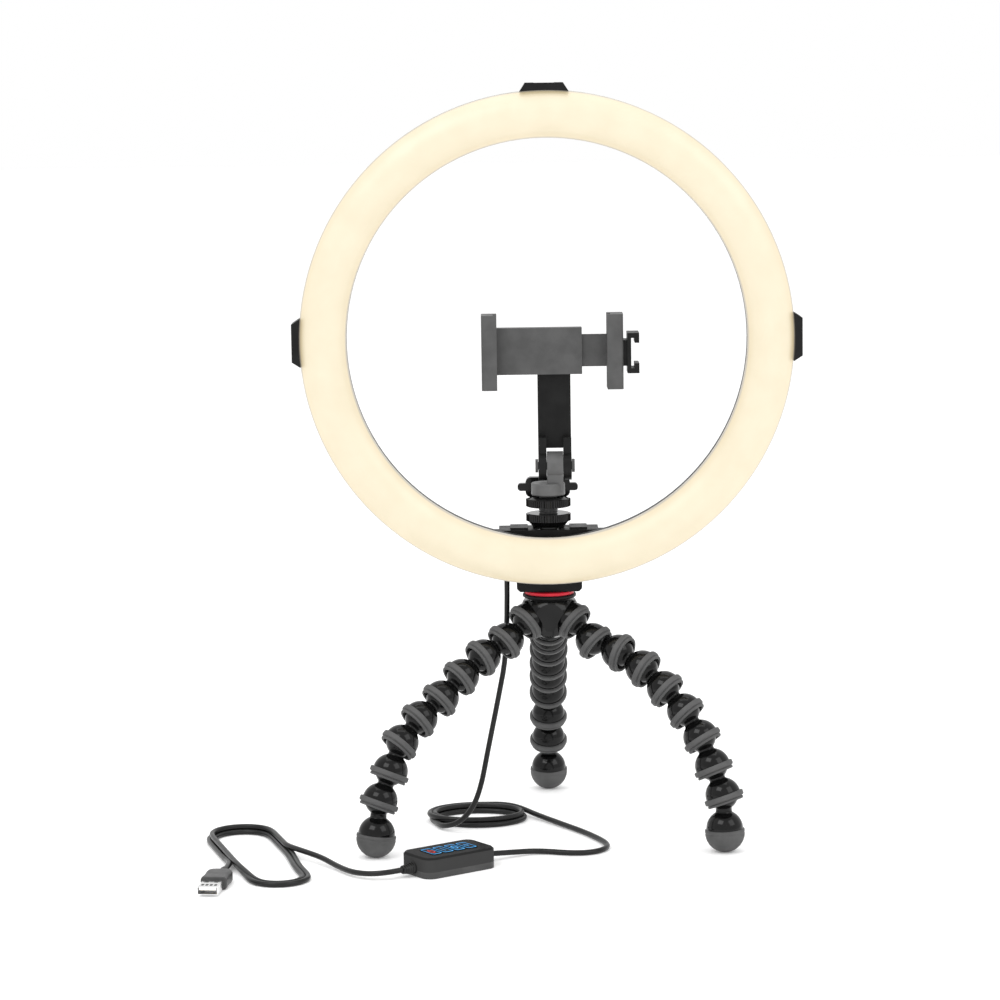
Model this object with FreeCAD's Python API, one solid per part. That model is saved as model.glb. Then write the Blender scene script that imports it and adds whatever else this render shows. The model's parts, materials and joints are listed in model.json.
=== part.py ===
"""Ring light on a flexible three-legged stand, with a phone clamp and a corded remote.

Every piece is a solid of its own, one STEP file per node. Millimetres, +Z up, the lit face
looks along -Y. The stand's upright axis is at x = 0; the last step moves everything along Y
so that the origin is under the middle of the object.
"""
import FreeCAD
import Part
import math
import os

# ---------------------------------------------------------------- driving dimensions
# ring head
RING_OUTER_R = 152.4
RING_INNER_R = 123.5
RING_CENTRE_Z = 314.5
RING_BACK_Y = -11.0
RING_SEAM_Y = -21.0
RING_FRONT_Y = -33.0
WALL = 2.0
LED_COUNT = 72
SCREW_COUNT = 8

# accessory shoe, to the usual photographic sizes
SHOE_FOOT_WIDTH = 18.6
SHOE_SLOT_WIDTH = 18.8
SHOE_LIP_GAP = 12.7
SHOE_SLOT_HEIGHT = 2.2
SHOE_LENGTH = 18.0

# bridge under the ring
BRIDGE_TOP_Z = 194.3
WING_BOTTOM_Z = 172.0
WING_BACK_Y = -3.0
WING_ROOT_X = 31.0
BRIDGE_BOTTOM_Z = 155.3
BRIDGE_FRONT_Y = RING_BACK_Y
BRIDGE_BACK_Y = 12.0
TRIPOD_THREAD_R = 3.175

# hub and legs
HUB_TOP_Z = 150.2
LEG_ROOT_R = 16.0
LEG_ROOT_Z = 137.0
LEG_ROOT_DROP = 35.0
BALL_R = 9.3
SOCKET_R = 9.45
DOME_R = 10.9
SEAT_R = 10.3
NECK_R = 5.0
GRIP_R = 12.4
MOUTH = 3.5
LINK_PITCH = 19.0
FOOT_PITCH = 23.4
FOOT_R = 12.3
FOOT_FLAT = 0.3
SWING = 28.0
LEG_AZIMUTH = {"left": 210.0, "right": 330.0, "rear": 90.0}
# drop of each link below the horizontal, from the hub to the foot
LEG_DROPS = {
    "left": [35, 27, 34, 39, 36, 44, 65, 66, 82],
    "right": [40, 19, 28, 39, 44, 55, 66, 69, 88],
    "rear": [35, 27, 34, 39, 36, 44, 65, 66, 82],
}

# phone clamp
STUD_R = 5.5
RUN_FIT = 0.08
NUT_R = 14.0
LOWER_NUT_Z = 194.7
UPPER_NUT_Z = 208.2
COLUMN_Z = 215.2
TILT_X = 4.5
TILT_Z = 233.4
TILT_R = 9.0
CLAMP_Z = 305.5
JAW_HEIGHT = 46.6
PHONE_GAP = 72.7
FIXED_JAW_X = -33.1
CLAMP_BACK_Y = 3.7
PHONE_BACK_Y = -4.0
LIP_BACK_Y = -12.4
CLAMP_FRONT_Y = -15.0

# cord
CORD_D = 3.4
REMOTE_X, REMOTE_Y, REMOTE_YAW = -64.2, -97.5, 36.0
REMOTE_LENGTH, REMOTE_WIDTH, REMOTE_HEIGHT = 52.0, 30.0, 12.8
REMOTE_CORNER_R = 6.5
REMOTE_SEAM_Z = 4.0
BUTTON_PITCH = 8.6
BUTTON_WIDTH, BUTTON_DEPTH = 7.2, 15.0
POCKET_GAP = 0.3
COIL_X, COIL_Y, COIL_A, COIL_B = -47.0, 33.5, 28.5, 21.0
COIL_HEIGHT, COIL_HALF_WIDTH = 7.0, 5.0
LOOP_X, LOOP_Y, LOOP_HEADING = -180.5, -67.5, -74.0
LOOP_STRAIGHT, LOOP_BEND_R = 108.0, 19.5
LOOP_HEIGHT, LOOP_HALF_WIDTH = 6.4, 3.8
GLAND = (-26.5, 6.0, 165.0)
PLUG = (-199.2, -108.0, 4.1)
PLUG_HEADING = -97.0

# routes of the free stretches, as corner points
DROP_ROUTE = [
    GLAND, (-26.5, 6, 118), (-33.2, 6, 84), (-40.4, 5.6, 50), (-44.6, 3.4, 29),
    (-50.2, 0.6, 15), (-59.2, -0.4, 5.8), (-69.4, 5.8, 2.4), (-74, 20.5, 2),
]
RUN_ROUTE = [
    (-39.5, -79.6, 5), (-26.8, -70.4, 3.4), (-10, -60, 1.8), (11.5, -68.6, 1.9), (25, -65.8, 1.8),
    (33.2, -55.5, 1.8), (33.4, -42, 1.9), (22, -15, 1.8), (6, 11, 2), (-9, 34, 2.6), (-20, 50, 4.2),
    (-30, 57.2, 4.8), (-44, 57, 4.9),
]
LEAD_ROUTE = [
    (-92.2, -117.9, 5), (-101.2, -122.6, 4.5), (-112.2, -121.2, 3.6), (-122.6, -112.4, 2.8),
    (-132, -96, 2.6), (-142, -80, 4.2), (-153.5, -67.5, 5.2), (-163, -50, 4.6),
]
TAIL_ROUTE = [(-201.5, -66, 2), (-197.8, -84, 3), (-197.74, -96.09, 4.1), PLUG]

nodes = {}
cord_nodes = set()


# ---------------------------------------------------------------- small helpers
def vec(x, y, z):
    return FreeCAD.Vector(x, y, z)


def box(x0, x1, y0, y1, z0, z1):
    """Box between two corners."""
    return Part.makeBox(x1 - x0, y1 - y0, z1 - z0, vec(x0, y0, z0))


def rod(radius, start, end):
    """Cylinder from one point to another."""
    a = vec(*start)
    b = vec(*end)
    return Part.makeCylinder(radius, (b - a).Length, a, b - a)


def polygon(points):
    """Face of a closed outline."""
    corners = [vec(*p) for p in points]
    return Part.Face(Part.makePolygon(corners + corners[:1]))


def turned(points, centre=(0, 0, 0), axis=(0, 0, 1)):
    """Solid of revolution of (radius, height) corners, then stood along axis at centre."""
    face = polygon([(r, 0, h) for r, h in points])
    solid = face.revolve(vec(0, 0, 0), vec(0, 0, 1), 360)
    return placed(solid, centre, axis)


def placed(shape, centre, axis):
    """Copy with its own Z along axis and its origin at centre."""
    copy = shape.copy()
    turn = FreeCAD.Rotation(vec(0, 0, 1), vec(*axis))
    copy.Placement = FreeCAD.Placement(vec(*centre), turn)
    return copy


def fused(*shapes):
    body = shapes[0].multiFuse(list(shapes[1:])) if len(shapes) > 1 else shapes[0]
    return body.removeSplitter()


def cut(body, *tools):
    for tool in tools:
        body = body.cut(tool)
    return body


def rounded(body, radius, direction):
    """Fillet of the straight edges that run along direction."""
    edges = []
    for edge in body.Edges:
        if edge.Curve.TypeId != "Part::GeomLine":
            continue
        line = edge.tangentAt(edge.FirstParameter)
        if abs(abs(line.dot(vec(*direction))) - 1) < 1e-6:
            edges.append(edge)
    return body.makeFillet(radius, edges)


def spin(shape, degrees, centre=(0, 0, 0), axis=(0, 0, 1)):
    copy = shape.copy()
    copy.rotate(vec(*centre), vec(*axis), degrees)
    return copy


def add(name, *shapes, cord=False):
    nodes[name] = list(shapes)
    if cord:
        cord_nodes.add(name)


# ---------------------------------------------------------------- ring head
def ring_turned(points):
    """Revolution about the ring's own axis of (radius, y) corners."""
    flipped = [(r, -y) for r, y in points]
    return turned(flipped, (0, 0, RING_CENTRE_Z), (0, -1, 0))


def crown(radius_in, radius_out, edge_y, top_y):
    """Edges of one domed side of the diffuser, from the inner to the outer rim."""
    mid = (radius_in + radius_out) / 2
    return Part.Arc(vec(radius_in, edge_y, 0), vec(mid, top_y, 0), vec(radius_out, edge_y, 0))


def make_diffuser():
    a, b = RING_INNER_R, RING_OUTER_R
    shoulder = RING_SEAM_Y - 3.0
    outer = crown(a, b, shoulder, RING_FRONT_Y).toShape()
    inner = crown(a + WALL, b - WALL, shoulder, RING_FRONT_Y + WALL).toShape()
    seam = RING_SEAM_Y
    left = Part.makePolygon(
        [vec(a, shoulder, 0), vec(a, seam, 0), vec(a + WALL, seam, 0), vec(a + WALL, shoulder, 0)]
    )
    right = Part.makePolygon(
        [vec(b, shoulder, 0), vec(b, seam, 0), vec(b - WALL, seam, 0), vec(b - WALL, shoulder, 0)]
    )
    wire = Part.Wire(Part.__sortEdges__([outer, inner] + left.Edges + right.Edges))
    solid = Part.Face(wire).revolve(vec(0, 0, 0), vec(0, 1, 0), 360)
    solid.translate(vec(0, 0, RING_CENTRE_Z))
    return solid


def screw_places():
    middle = (RING_INNER_R + RING_OUTER_R) / 2
    step = 360.0 / SCREW_COUNT
    for i in range(SCREW_COUNT):
        angle = math.radians(step * (i + 0.5))
        yield middle * math.cos(angle), RING_CENTRE_Z + middle * math.sin(angle)


def make_housing():
    a, b = RING_INNER_R, RING_OUTER_R
    back, seam = RING_BACK_Y, RING_SEAM_Y
    shell = ring_turned([
        (a, seam), (a, back - 3), (a + 3, back), (b - 3, back), (b, back - 3), (b, seam),
        (b - WALL, seam), (b - WALL, back - 4), (b - 4, back - WALL),
        (a + 4, back - WALL), (a + WALL, back - 4), (a + WALL, seam),
    ])
    bosses = [rod(3.2, (x, back - WALL, z), (x, seam + 0.5, z)) for x, z in screw_places()]
    holes = [rod(1.4, (x, back + 1, z), (x, seam, z)) for x, z in screw_places()]
    return cut(fused(shell, *bosses), Part.makeCompound(holes))


def make_led_board():
    a, b = RING_INNER_R + 4.5, RING_OUTER_R - 4.5
    top = RING_BACK_Y - WALL
    board = ring_turned([(a, top), (b, top), (b, top - 1.5), (a, top - 1.5)])
    holes = [rod(3.4, (x, top + 1, z), (x, top - 3, z)) for x, z in screw_places()]
    board = cut(board, Part.makeCompound(holes))
    chips = []
    middle = (a + b) / 2
    for i in range(LED_COUNT):
        angle = 360.0 * (i + 0.5) / LED_COUNT
        row = 4.5 if i % 2 else -4.5
        chip = box(middle + row - 1.6, middle + row + 1.6, top - 2.3, top - 1.5, -1.6, 1.6)
        chip = spin(chip, angle, (0, 0, 0), (0, 1, 0))
        chip.translate(vec(0, 0, RING_CENTRE_Z))
        chips.append(chip)
    return board.multiFuse(chips)


def make_housing_screw(x, z):
    y = RING_BACK_Y
    head = turned([(0, 0), (3.0, 0), (3.0, 0.9), (2.2, 1.6), (0, 1.6)], (x, y, z), (0, 1, 0))
    shank = rod(1.4, (x, y, z), (x, y - 7, z))
    recess = fused(box(x - 1.6, x + 1.6, y + 0.8, y + 2, z - 0.35, z + 0.35),
                   box(x - 0.35, x + 0.35, y + 0.8, y + 2, z - 1.6, z + 1.6))
    return cut(fused(head, shank), recess)


def shoe_block(base_half, top_half, floor, slot, lip):
    """Accessory shoe seen along its slot: outline in (x, z), from z = 0 upwards."""
    height = floor + slot + lip
    half_slot, half_gap = SHOE_SLOT_WIDTH / 2, SHOE_LIP_GAP / 2
    return [
        (-base_half, 0), (base_half, 0), (top_half, height), (half_gap, height),
        (half_gap, floor + slot), (half_slot, floor + slot), (half_slot, floor),
        (-half_slot, floor), (-half_slot, floor + slot), (-half_gap, floor + slot),
        (-half_gap, height), (-top_half, height),
    ]


def make_ring_shoe(angle):
    """Shoe on the ring's rim, its slot open at the back and closed at the front."""
    start, end = RING_BACK_Y - SHOE_LENGTH, RING_BACK_Y
    base = RING_OUTER_R - 1.4
    outline = shoe_block(15.4, 11.6, 2.4, SHOE_SLOT_HEIGHT, 1.3)
    block = polygon([(x, start, base + z) for x, z in outline]).extrude(vec(0, end - start, 0))
    height = base + 2.4 + SHOE_SLOT_HEIGHT + 1.3
    stop = polygon([(-15.4, start, base), (15.4, start, base), (11.6, start, height), (-11.6, start, height)])
    block = fused(block, stop.extrude(vec(0, 1.8, 0)))
    block = cut(block, rod(RING_OUTER_R, (0, start - 1, 0), (0, end + 1, 0)))
    block = spin(block, angle, (0, 0, 0), (0, 1, 0))
    block.translate(vec(0, 0, RING_CENTRE_Z))
    return block


def make_bridge():
    top, bottom = BRIDGE_TOP_Z, BRIDGE_BOTTOM_Z
    front, back = BRIDGE_FRONT_Y, BRIDGE_BACK_Y
    half = [
        (49, top), (49, top - 8), (36, WING_BOTTOM_Z), (20.4, WING_BOTTOM_Z),
        (20.4, bottom + 2), (18.4, bottom),
    ]
    outline = [(x, front, z) for x, z in half] + [(-x, front, z) for x, z in reversed(half)]
    body = polygon(outline).extrude(vec(0, back - front, 0))
    body = rounded(body, 2.0, (0, 1, 0))
    slot_top = top - 1.6
    slot_bottom = slot_top - SHOE_SLOT_HEIGHT
    half_slot, half_gap = SHOE_SLOT_WIDTH / 2, SHOE_LIP_GAP / 2
    slot = fused(box(-half_slot, half_slot, -9.2, back + 1, slot_bottom, slot_top),
                 box(-half_gap, half_gap, -9.2, back + 1, slot_bottom, top + 1))
    pads = [box(13, 24, -8, 9, top, top + 1.2), box(-24, -13, -8, 9, top, top + 1.2)]
    behind_wing = box(WING_ROOT_X, 60, WING_BACK_Y, back + 1, bottom, top + 1)
    behind_wings = [behind_wing, behind_wing.mirror(vec(0, 0, 0), vec(1, 0, 0))]
    thread = rod(TRIPOD_THREAD_R, (0, 0, bottom - 1), (0, 0, bottom + 12))
    return cut(fused(body, *pads), slot, thread, *behind_wings)


def make_gland():
    x, y, z = GLAND
    return turned([(0, 0), (2.4, 0), (3.4, 4), (3.6, 7), (0, 7)], (x, y, z))


def build_head():
    add("ring_diffuser", make_diffuser())
    add("ring_housing", make_housing())
    add("led_board", make_led_board())
    add("housing_screws", *[make_housing_screw(x, z) for x, z in screw_places()])
    add("ring_shoes", *[make_ring_shoe(angle) for angle in (0, 90, -90)])
    add("bridge", make_bridge())
    add("cable_gland", make_gland())


# ---------------------------------------------------------------- hub
def leg_direction(azimuth, drop):
    a, d = math.radians(azimuth), math.radians(drop)
    return vec(math.cos(a) * math.cos(d), math.sin(a) * math.cos(d), -math.sin(d))


def leg_root(azimuth):
    a = math.radians(azimuth)
    return vec(LEG_ROOT_R * math.cos(a), LEG_ROOT_R * math.sin(a), LEG_ROOT_Z)


def make_grip_ring(ball_z):
    """Rubber ring on a socket's mouth, with the thin lip below it, round a ball at ball_z."""
    half_section = [
        (SEAT_R, 0.2), (GRIP_R - 0.4, 0.2), (GRIP_R, 0.6), (GRIP_R, MOUTH - 0.4), (GRIP_R - 0.4, MOUTH),
        (GRIP_R - 1.0, MOUTH + 0.2), (GRIP_R - 1.0, 5.3), (GRIP_R - 1.2, 5.5), (9.6, 5.5),
        (9.6, MOUTH), (SEAT_R, MOUTH),
    ]
    return turned([(r, z + ball_z) for r, z in half_section])


def make_shield(azimuth):
    """Face of the hub between two legs, with hollow curved sides."""
    sides = [Part.Arc(vec(s * 13.5, 0, 149), vec(s * 6.4, 0, 139), vec(s * 2.4, 0, 131)) for s in (-1, 1)]
    edges = [side.toShape() for side in sides]
    for z, half in ((149, 13.5), (131, 2.4)):
        edges.append(Part.makeLine(vec(-half, 0, z), vec(half, 0, z)))
    plate = Part.Face(Part.Wire(Part.__sortEdges__(edges))).extrude(vec(0, -16.6, 0))
    return spin(plate, azimuth + 90)


def make_hub():
    core = turned([
        (0, HUB_TOP_Z), (11.3, HUB_TOP_Z), (11.3, 149), (14.5, 148), (16.5, 143),
        (15.5, 133), (11, 127), (5, 124.6), (0, 124.6),
    ])
    ball = Part.makeSphere(19.0, vec(0, 0, 139))
    shields = [make_shield(a + 180).common(ball) for a in LEG_AZIMUTH.values()]
    sockets = []
    hollows = []
    for azimuth in LEG_AZIMUTH.values():
        centre = leg_root(azimuth)
        axis = leg_direction(azimuth, LEG_ROOT_DROP)
        sockets.append(Part.makeSphere(DOME_R + 0.3, centre))
        sockets.append(rod(SEAT_R, centre, centre + axis * MOUTH))
        hollows.append(Part.makeSphere(SOCKET_R, centre))
        hollows.append(rod(GRIP_R + 0.6, centre + axis * MOUTH, centre + axis * 30))
        outside = turned([(SEAT_R, 0.2), (20, 0.2), (20, MOUTH + 0.1), (SEAT_R, MOUTH + 0.1)])
        hollows.append(placed(outside, centre, axis))
    body = cut(fused(core, *shields, *sockets), *hollows)
    return body


def build_hub():
    ring = make_grip_ring(0)
    collars = []
    for azimuth in LEG_AZIMUTH.values():
        collars.append(placed(ring, leg_root(azimuth), leg_direction(azimuth, LEG_ROOT_DROP)))
    add("hub_body", make_hub(), *collars)
    bore = TRIPOD_THREAD_R + RUN_FIT
    wheel = turned([
        (bore, 150.4), (15.6, 150.4), (16.8, 151.2), (16.8, 152.4), (16.2, 153), (bore, 153),
    ])
    add("lock_wheel", wheel)
    add("wheel_pad", turned([(bore, 153), (15.4, 153), (15.4, 154.6), (15.0, 155), (bore, 155)]))
    screw = rod(TRIPOD_THREAD_R, (0, 0, HUB_TOP_Z), (0, 0, BRIDGE_BOTTOM_Z + 9))
    add("mount_screw", screw)


# ---------------------------------------------------------------- legs
def link_profile():
    """Half section of a link: ball at 0, socket at LINK_PITCH, along +Z."""
    neck_low = math.sqrt(BALL_R ** 2 - NECK_R ** 2)
    neck_high = LINK_PITCH - math.sqrt(DOME_R ** 2 - NECK_R ** 2)
    mouth_r = math.sqrt(SOCKET_R ** 2 - MOUTH ** 2)
    mouth_z = LINK_PITCH + MOUTH
    half = math.sqrt(0.5)
    pts = {
        "bottom": vec(0, 0, -BALL_R),
        "neck_low": vec(NECK_R, 0, neck_low),
        "neck_high": vec(NECK_R, 0, neck_high),
        "dome": vec(DOME_R, 0, LINK_PITCH),
        "step_out": vec(DOME_R, 0, LINK_PITCH + 0.2),
        "step_in": vec(SEAT_R, 0, LINK_PITCH + 0.2),
        "rim_out": vec(SEAT_R, 0, mouth_z),
        "rim_in": vec(mouth_r, 0, mouth_z),
        "well": vec(0, 0, LINK_PITCH - SOCKET_R),
    }
    ball_side = vec(BALL_R, 0, 0)
    dome_side = vec(DOME_R * half, 0, LINK_PITCH - DOME_R * half)
    well_side = vec(SOCKET_R * half, 0, LINK_PITCH - SOCKET_R * half)
    return [
        Part.Arc(pts["bottom"], ball_side, pts["neck_low"]).toShape(),
        Part.makeLine(pts["neck_low"], pts["neck_high"]),
        Part.Arc(pts["neck_high"], dome_side, pts["dome"]).toShape(),
        Part.makeLine(pts["dome"], pts["step_out"]),
        Part.makeLine(pts["step_out"], pts["step_in"]),
        Part.makeLine(pts["step_in"], pts["rim_out"]),
        Part.makeLine(pts["rim_out"], pts["rim_in"]),
        Part.Arc(pts["rim_in"], well_side, pts["well"]).toShape(),
        Part.makeLine(pts["well"], pts["bottom"]),
    ]


def make_link():
    face = Part.Face(Part.Wire(link_profile()))
    return face.revolve(vec(0, 0, 0), vec(0, 0, 1), 360)


def make_foot_link():
    """Last link: ball, neck, a dome, and a plug that holds the rubber cap."""
    top = FOOT_PITCH - 2.4
    ball = Part.makeSphere(BALL_R)
    dome = Part.makeSphere(11.4, vec(0, 0, top))
    dome = dome.common(rod(15, (0, 0, 0), (0, 0, top)))
    return fused(ball, rod(NECK_R, (0, 0, 0), (0, 0, top)), dome, rod(8, (0, 0, top - 1), (0, 0, top + 4)))


def make_foot_cap():
    top = FOOT_PITCH - 2.4
    sleeve = rod(FOOT_R, (0, 0, top), (0, 0, FOOT_PITCH))
    half = Part.makeSphere(FOOT_R, vec(0, 0, FOOT_PITCH))
    half = half.common(rod(15, (0, 0, FOOT_PITCH), (0, 0, FOOT_PITCH + 15)))
    return cut(fused(sleeve, half), rod(8, (0, 0, top - 1), (0, 0, top + 4)))


def leg_points(azimuth, drops, trim):
    """Ball centres from the hub down, then the foot's centre, with every drop trimmed alike."""
    points = [leg_root(azimuth)]
    for i, drop in enumerate(drops):
        length = LINK_PITCH if i < len(drops) - 1 else FOOT_PITCH
        points.append(points[-1] + leg_direction(azimuth, drop + trim) * length)
    return points


def stand_leg(azimuth, drops):
    """The trim that puts the foot's flat exactly on the floor."""
    target = FOOT_R - FOOT_FLAT
    low, high = -8.0, 8.0
    for _ in range(60):
        trim = (low + high) / 2
        if leg_points(azimuth, drops, trim)[-1].z > target:
            low = trim
        else:
            high = trim
    return trim


def build_legs():
    link, ring = make_link(), make_grip_ring(LINK_PITCH)
    foot, cap = make_foot_link(), make_foot_cap()
    feet = {}
    joints = []
    below = box(-400, 400, -400, 400, -50, 0)
    for side, azimuth in LEG_AZIMUTH.items():
        drops = LEG_DROPS[side]
        trim = stand_leg(azimuth, drops)
        points = leg_points(azimuth, drops, trim)
        before = LEG_ROOT_DROP
        for i, drop in enumerate(drops):
            axis = leg_direction(azimuth, drop + trim)
            bend = drop + trim - before
            before = drop + trim
            if i < len(drops) - 1:
                name = "leg_%s_link_%d" % (side, i + 1)
                add(name, placed(link, points[i], axis), placed(ring, points[i], axis))
            else:
                name = "leg_%s_foot" % side
                add(name, placed(foot, points[i], axis), placed(cap, points[i], axis).cut(below))
            joints.append((name, points[i], azimuth, bend))
        feet[side] = points[-1]
    return feet, joints


# ---------------------------------------------------------------- phone clamp
def knurled_disc(radius, z0, z1, teeth=56):
    points = []
    for i in range(2 * teeth):
        r = radius if i % 2 else radius - 0.5
        a = math.pi * i / teeth
        points.append((r * math.cos(a), r * math.sin(a), z0))
    return polygon(points).extrude(vec(0, 0, z1 - z0))


def make_nut(z0, cone_below):
    """Knurled nut with a cone on one side, bored to run on the stud."""
    disc0 = z0 + 4.4 if cone_below else z0
    disc = knurled_disc(NUT_R, disc0, disc0 + 4.4)
    if cone_below:
        body = turned([(0, z0), (10, z0), (10, z0 + 0.8), (13, disc0), (13, z0 + 9.1), (0, z0 + 9.1)])
    else:
        body = turned([(0, z0 - 0.3), (13, z0 - 0.3), (13, z0 + 4.6), (10.2, z0 + 5.9), (0, z0 + 5.9)])
    bore = rod(STUD_R + RUN_FIT, (0, 0, z0 - 2), (0, 0, z0 + 12))
    return cut(fused(disc, body), bore)


def make_shoe_foot():
    lip_under = BRIDGE_TOP_Z - 1.6
    half = SHOE_FOOT_WIDTH / 2
    plate = box(-half, half, -9, 9, lip_under - 2.0, lip_under)
    return fused(plate, rod(STUD_R, (0, 0, lip_under - 1), (0, 0, 221)))


def make_column():
    x0, x1 = TILT_X - 5, TILT_X + 5
    top = COLUMN_Z + 7.6
    collar = turned([(0, COLUMN_Z), (10.2, COLUMN_Z), (10.6, COLUMN_Z + 0.6), (10.6, top - 0.6), (10.2, top), (0, top)])
    tongue = box(x0, x1, -7.4, 7.4, COLUMN_Z + 3, TILT_Z)
    knuckle = rod(TILT_R, (x0, 0, TILT_Z), (x1, 0, TILT_Z))
    body = fused(collar, tongue, knuckle)
    bore = rod(STUD_R + RUN_FIT, (0, 0, COLUMN_Z - 1), (0, 0, 221.2))
    lock = rod(2.5 + RUN_FIT, (0, 5, COLUMN_Z + 2.7), (0, 12, COLUMN_Z + 2.7))
    pin_hole = rod(2.5, (x0 - 1, 0, TILT_Z), (x1 + 1, 0, TILT_Z))
    return cut(body, bore, lock, pin_hole)


def make_tilt_pin():
    x0, x1 = TILT_X - 12.3, TILT_X + 12.3
    shaft = rod(2.5, (x0, 0, TILT_Z), (x1, 0, TILT_Z))
    heads = [rod(4.2, (x0, 0, TILT_Z), (x0 + 1.7, 0, TILT_Z)), rod(4.2, (x1 - 1.7, 0, TILT_Z), (x1, 0, TILT_Z))]
    return fused(shaft, *heads)


def make_wing_knob():
    z = COLUMN_Z + 2.7
    body = rounded(box(-14, 14, 15.5, 21.5, z - 6.3, z + 6.3), 3.5, (0, 1, 0))
    wings = rounded(box(-19, 19, 16.2, 20.8, z - 2.4, z + 2.4), 2.0, (0, 1, 0))
    return fused(body, wings, rod(2.5, (0, 5.9, z), (0, 16, z)))


def make_tilt_arm():
    z_top = CLAMP_Z + 9
    ears = []
    for x0, x1 in ((TILT_X - 10.3, TILT_X - 5.3), (TILT_X + 5.3, TILT_X + 10.3)):
        ears.append(rod(TILT_R, (x0, 0, TILT_Z), (x1, 0, TILT_Z)))
        ears.append(box(x0, x1, -4, 9, TILT_Z, TILT_Z + 18))
    plate = box(TILT_X - 10.3, TILT_X + 10.3, 4, 9, TILT_Z + 10.6, z_top)
    plate = fused(plate, rod(10.3, (TILT_X, 4, CLAMP_Z), (TILT_X, 9, CLAMP_Z)))
    pin_hole = rod(2.5 + RUN_FIT, (TILT_X - 12, 0, TILT_Z), (TILT_X + 12, 0, TILT_Z))
    pivot_hole = rod(5 + RUN_FIT, (TILT_X, 3, CLAMP_Z), (TILT_X, 10, CLAMP_Z))
    return cut(fused(*ears, plate), pin_hole, pivot_hole)


def jaw(wall_in, wall_out, lip_in):
    """Channel-shaped jaw: wall, front lip and back, from the inner to the outer face."""
    z0, z1 = CLAMP_Z - JAW_HEIGHT / 2, CLAMP_Z + JAW_HEIGHT / 2
    outline = [
        (wall_out, CLAMP_FRONT_Y), (lip_in, CLAMP_FRONT_Y), (lip_in, LIP_BACK_Y), (wall_in, LIP_BACK_Y),
        (wall_in, PHONE_BACK_Y), (lip_in, PHONE_BACK_Y), (lip_in, CLAMP_BACK_Y), (wall_out, CLAMP_BACK_Y),
    ]
    body = polygon([(x, y, z0) for x, y in outline]).extrude(vec(0, 0, z1 - z0))
    corners = []
    for edge in body.Edges:
        start, end = edge.Vertexes[0].Point, edge.Vertexes[1].Point
        if abs(start.z - end.z) > 1 and abs(start.x - wall_out) < 1e-6:
            corners.append(edge)
    return body.makeFillet(2.0, corners)


def make_clamp_body():
    x_wall, x_end = FIXED_JAW_X, 22.0
    fixed = jaw(x_wall, x_wall - 7.4, x_wall + 2.2)
    plate = box(x_wall - 2, x_end, PHONE_BACK_Y, CLAMP_BACK_Y, CLAMP_Z - 14.5, CLAMP_Z + 14.5)
    slot = box(x_wall - 2, x_end + 1, -1.9, 1.9, CLAMP_Z - 10.3, CLAMP_Z + 10.3)
    pivot = rod(5, (TILT_X, CLAMP_BACK_Y - 0.5, CLAMP_Z), (TILT_X, 10.5, CLAMP_Z))
    head = rod(7.5, (TILT_X, 9.3, CLAMP_Z), (TILT_X, 11.2, CLAMP_Z))
    return cut(fused(fixed, plate, pivot, head), slot)


def make_sliding_jaw():
    x_wall = FIXED_JAW_X + PHONE_GAP
    body = jaw(x_wall, x_wall + 7.8, x_wall - 2.2)
    return fused(body, box(-10, x_wall + 1, -1.5, 1.5, CLAMP_Z - 10, CLAMP_Z + 10))


def make_side_shoe():
    """Shoe on the sliding jaw's outer face, its slot open to the right."""
    x = FIXED_JAW_X + PHONE_GAP + 7.8
    outline = shoe_block(12.5, 12.5, 2.3, SHOE_SLOT_HEIGHT, 2.8)
    start = CLAMP_BACK_Y - SHOE_LENGTH
    points = [(x + 2.5 + h, start, CLAMP_Z - 1 - w) for w, h in outline]
    block = polygon(points).extrude(vec(0, SHOE_LENGTH, 0))
    stem = box(x, x + 2.5, start + 2, CLAMP_BACK_Y - 2, CLAMP_Z - 9, CLAMP_Z + 7)
    return fused(block, stem)


def build_clamp():
    add("shoe_foot", make_shoe_foot())
    add("lower_nut", make_nut(LOWER_NUT_Z, True))
    add("upper_nut", make_nut(UPPER_NUT_Z, False))
    add("clamp_column", make_column(), make_tilt_pin())
    add("wing_knob", make_wing_knob())
    add("tilt_arm", make_tilt_arm())
    add("clamp_body", make_clamp_body())
    add("sliding_jaw", make_sliding_jaw())
    add("side_shoe", make_side_shoe())


# ---------------------------------------------------------------- cord, remote and plug
def tube(route, label):
    """Straight runs joined by tangent arcs, swept with the cord's section."""
    corners = [vec(*p) for p in route]
    edges = []
    here = corners[0]
    length = 0.0
    tightest = 1e9
    for i in range(1, len(corners) - 1):
        before, after = corners[i - 1] - corners[i], corners[i + 1] - corners[i]
        turn = math.pi - before.getAngle(after)
        reach = 0.45 * min(before.Length, after.Length)
        radius = reach / math.tan(turn / 2)
        tightest = min(tightest, radius)
        back = before.normalize()
        ahead = after.normalize()
        start = corners[i] + back * reach
        end = corners[i] + ahead * reach
        middle = (back + ahead).normalize()
        depth = radius / math.cos(turn / 2) - radius
        edges.append(Part.makeLine(here, start))
        edges.append(Part.Arc(start, corners[i] + middle * depth, end).toShape())
        length += (start - here).Length + radius * turn
        here = end
    edges.append(Part.makeLine(here, corners[-1]))
    length += (corners[-1] - here).Length
    section = Part.Wire([Part.makeCircle(CORD_D / 2, corners[0], corners[1] - corners[0])])
    solid = Part.Wire(edges).makePipeShell([section], True, False, 1)
    expected = math.pi * CORD_D ** 2 / 4 * length
    print("%s: length %.1f, tightest radius %.1f, volume %.3f of section x length"
          % (label, length, tightest, solid.Volume / expected))
    return solid


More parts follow.
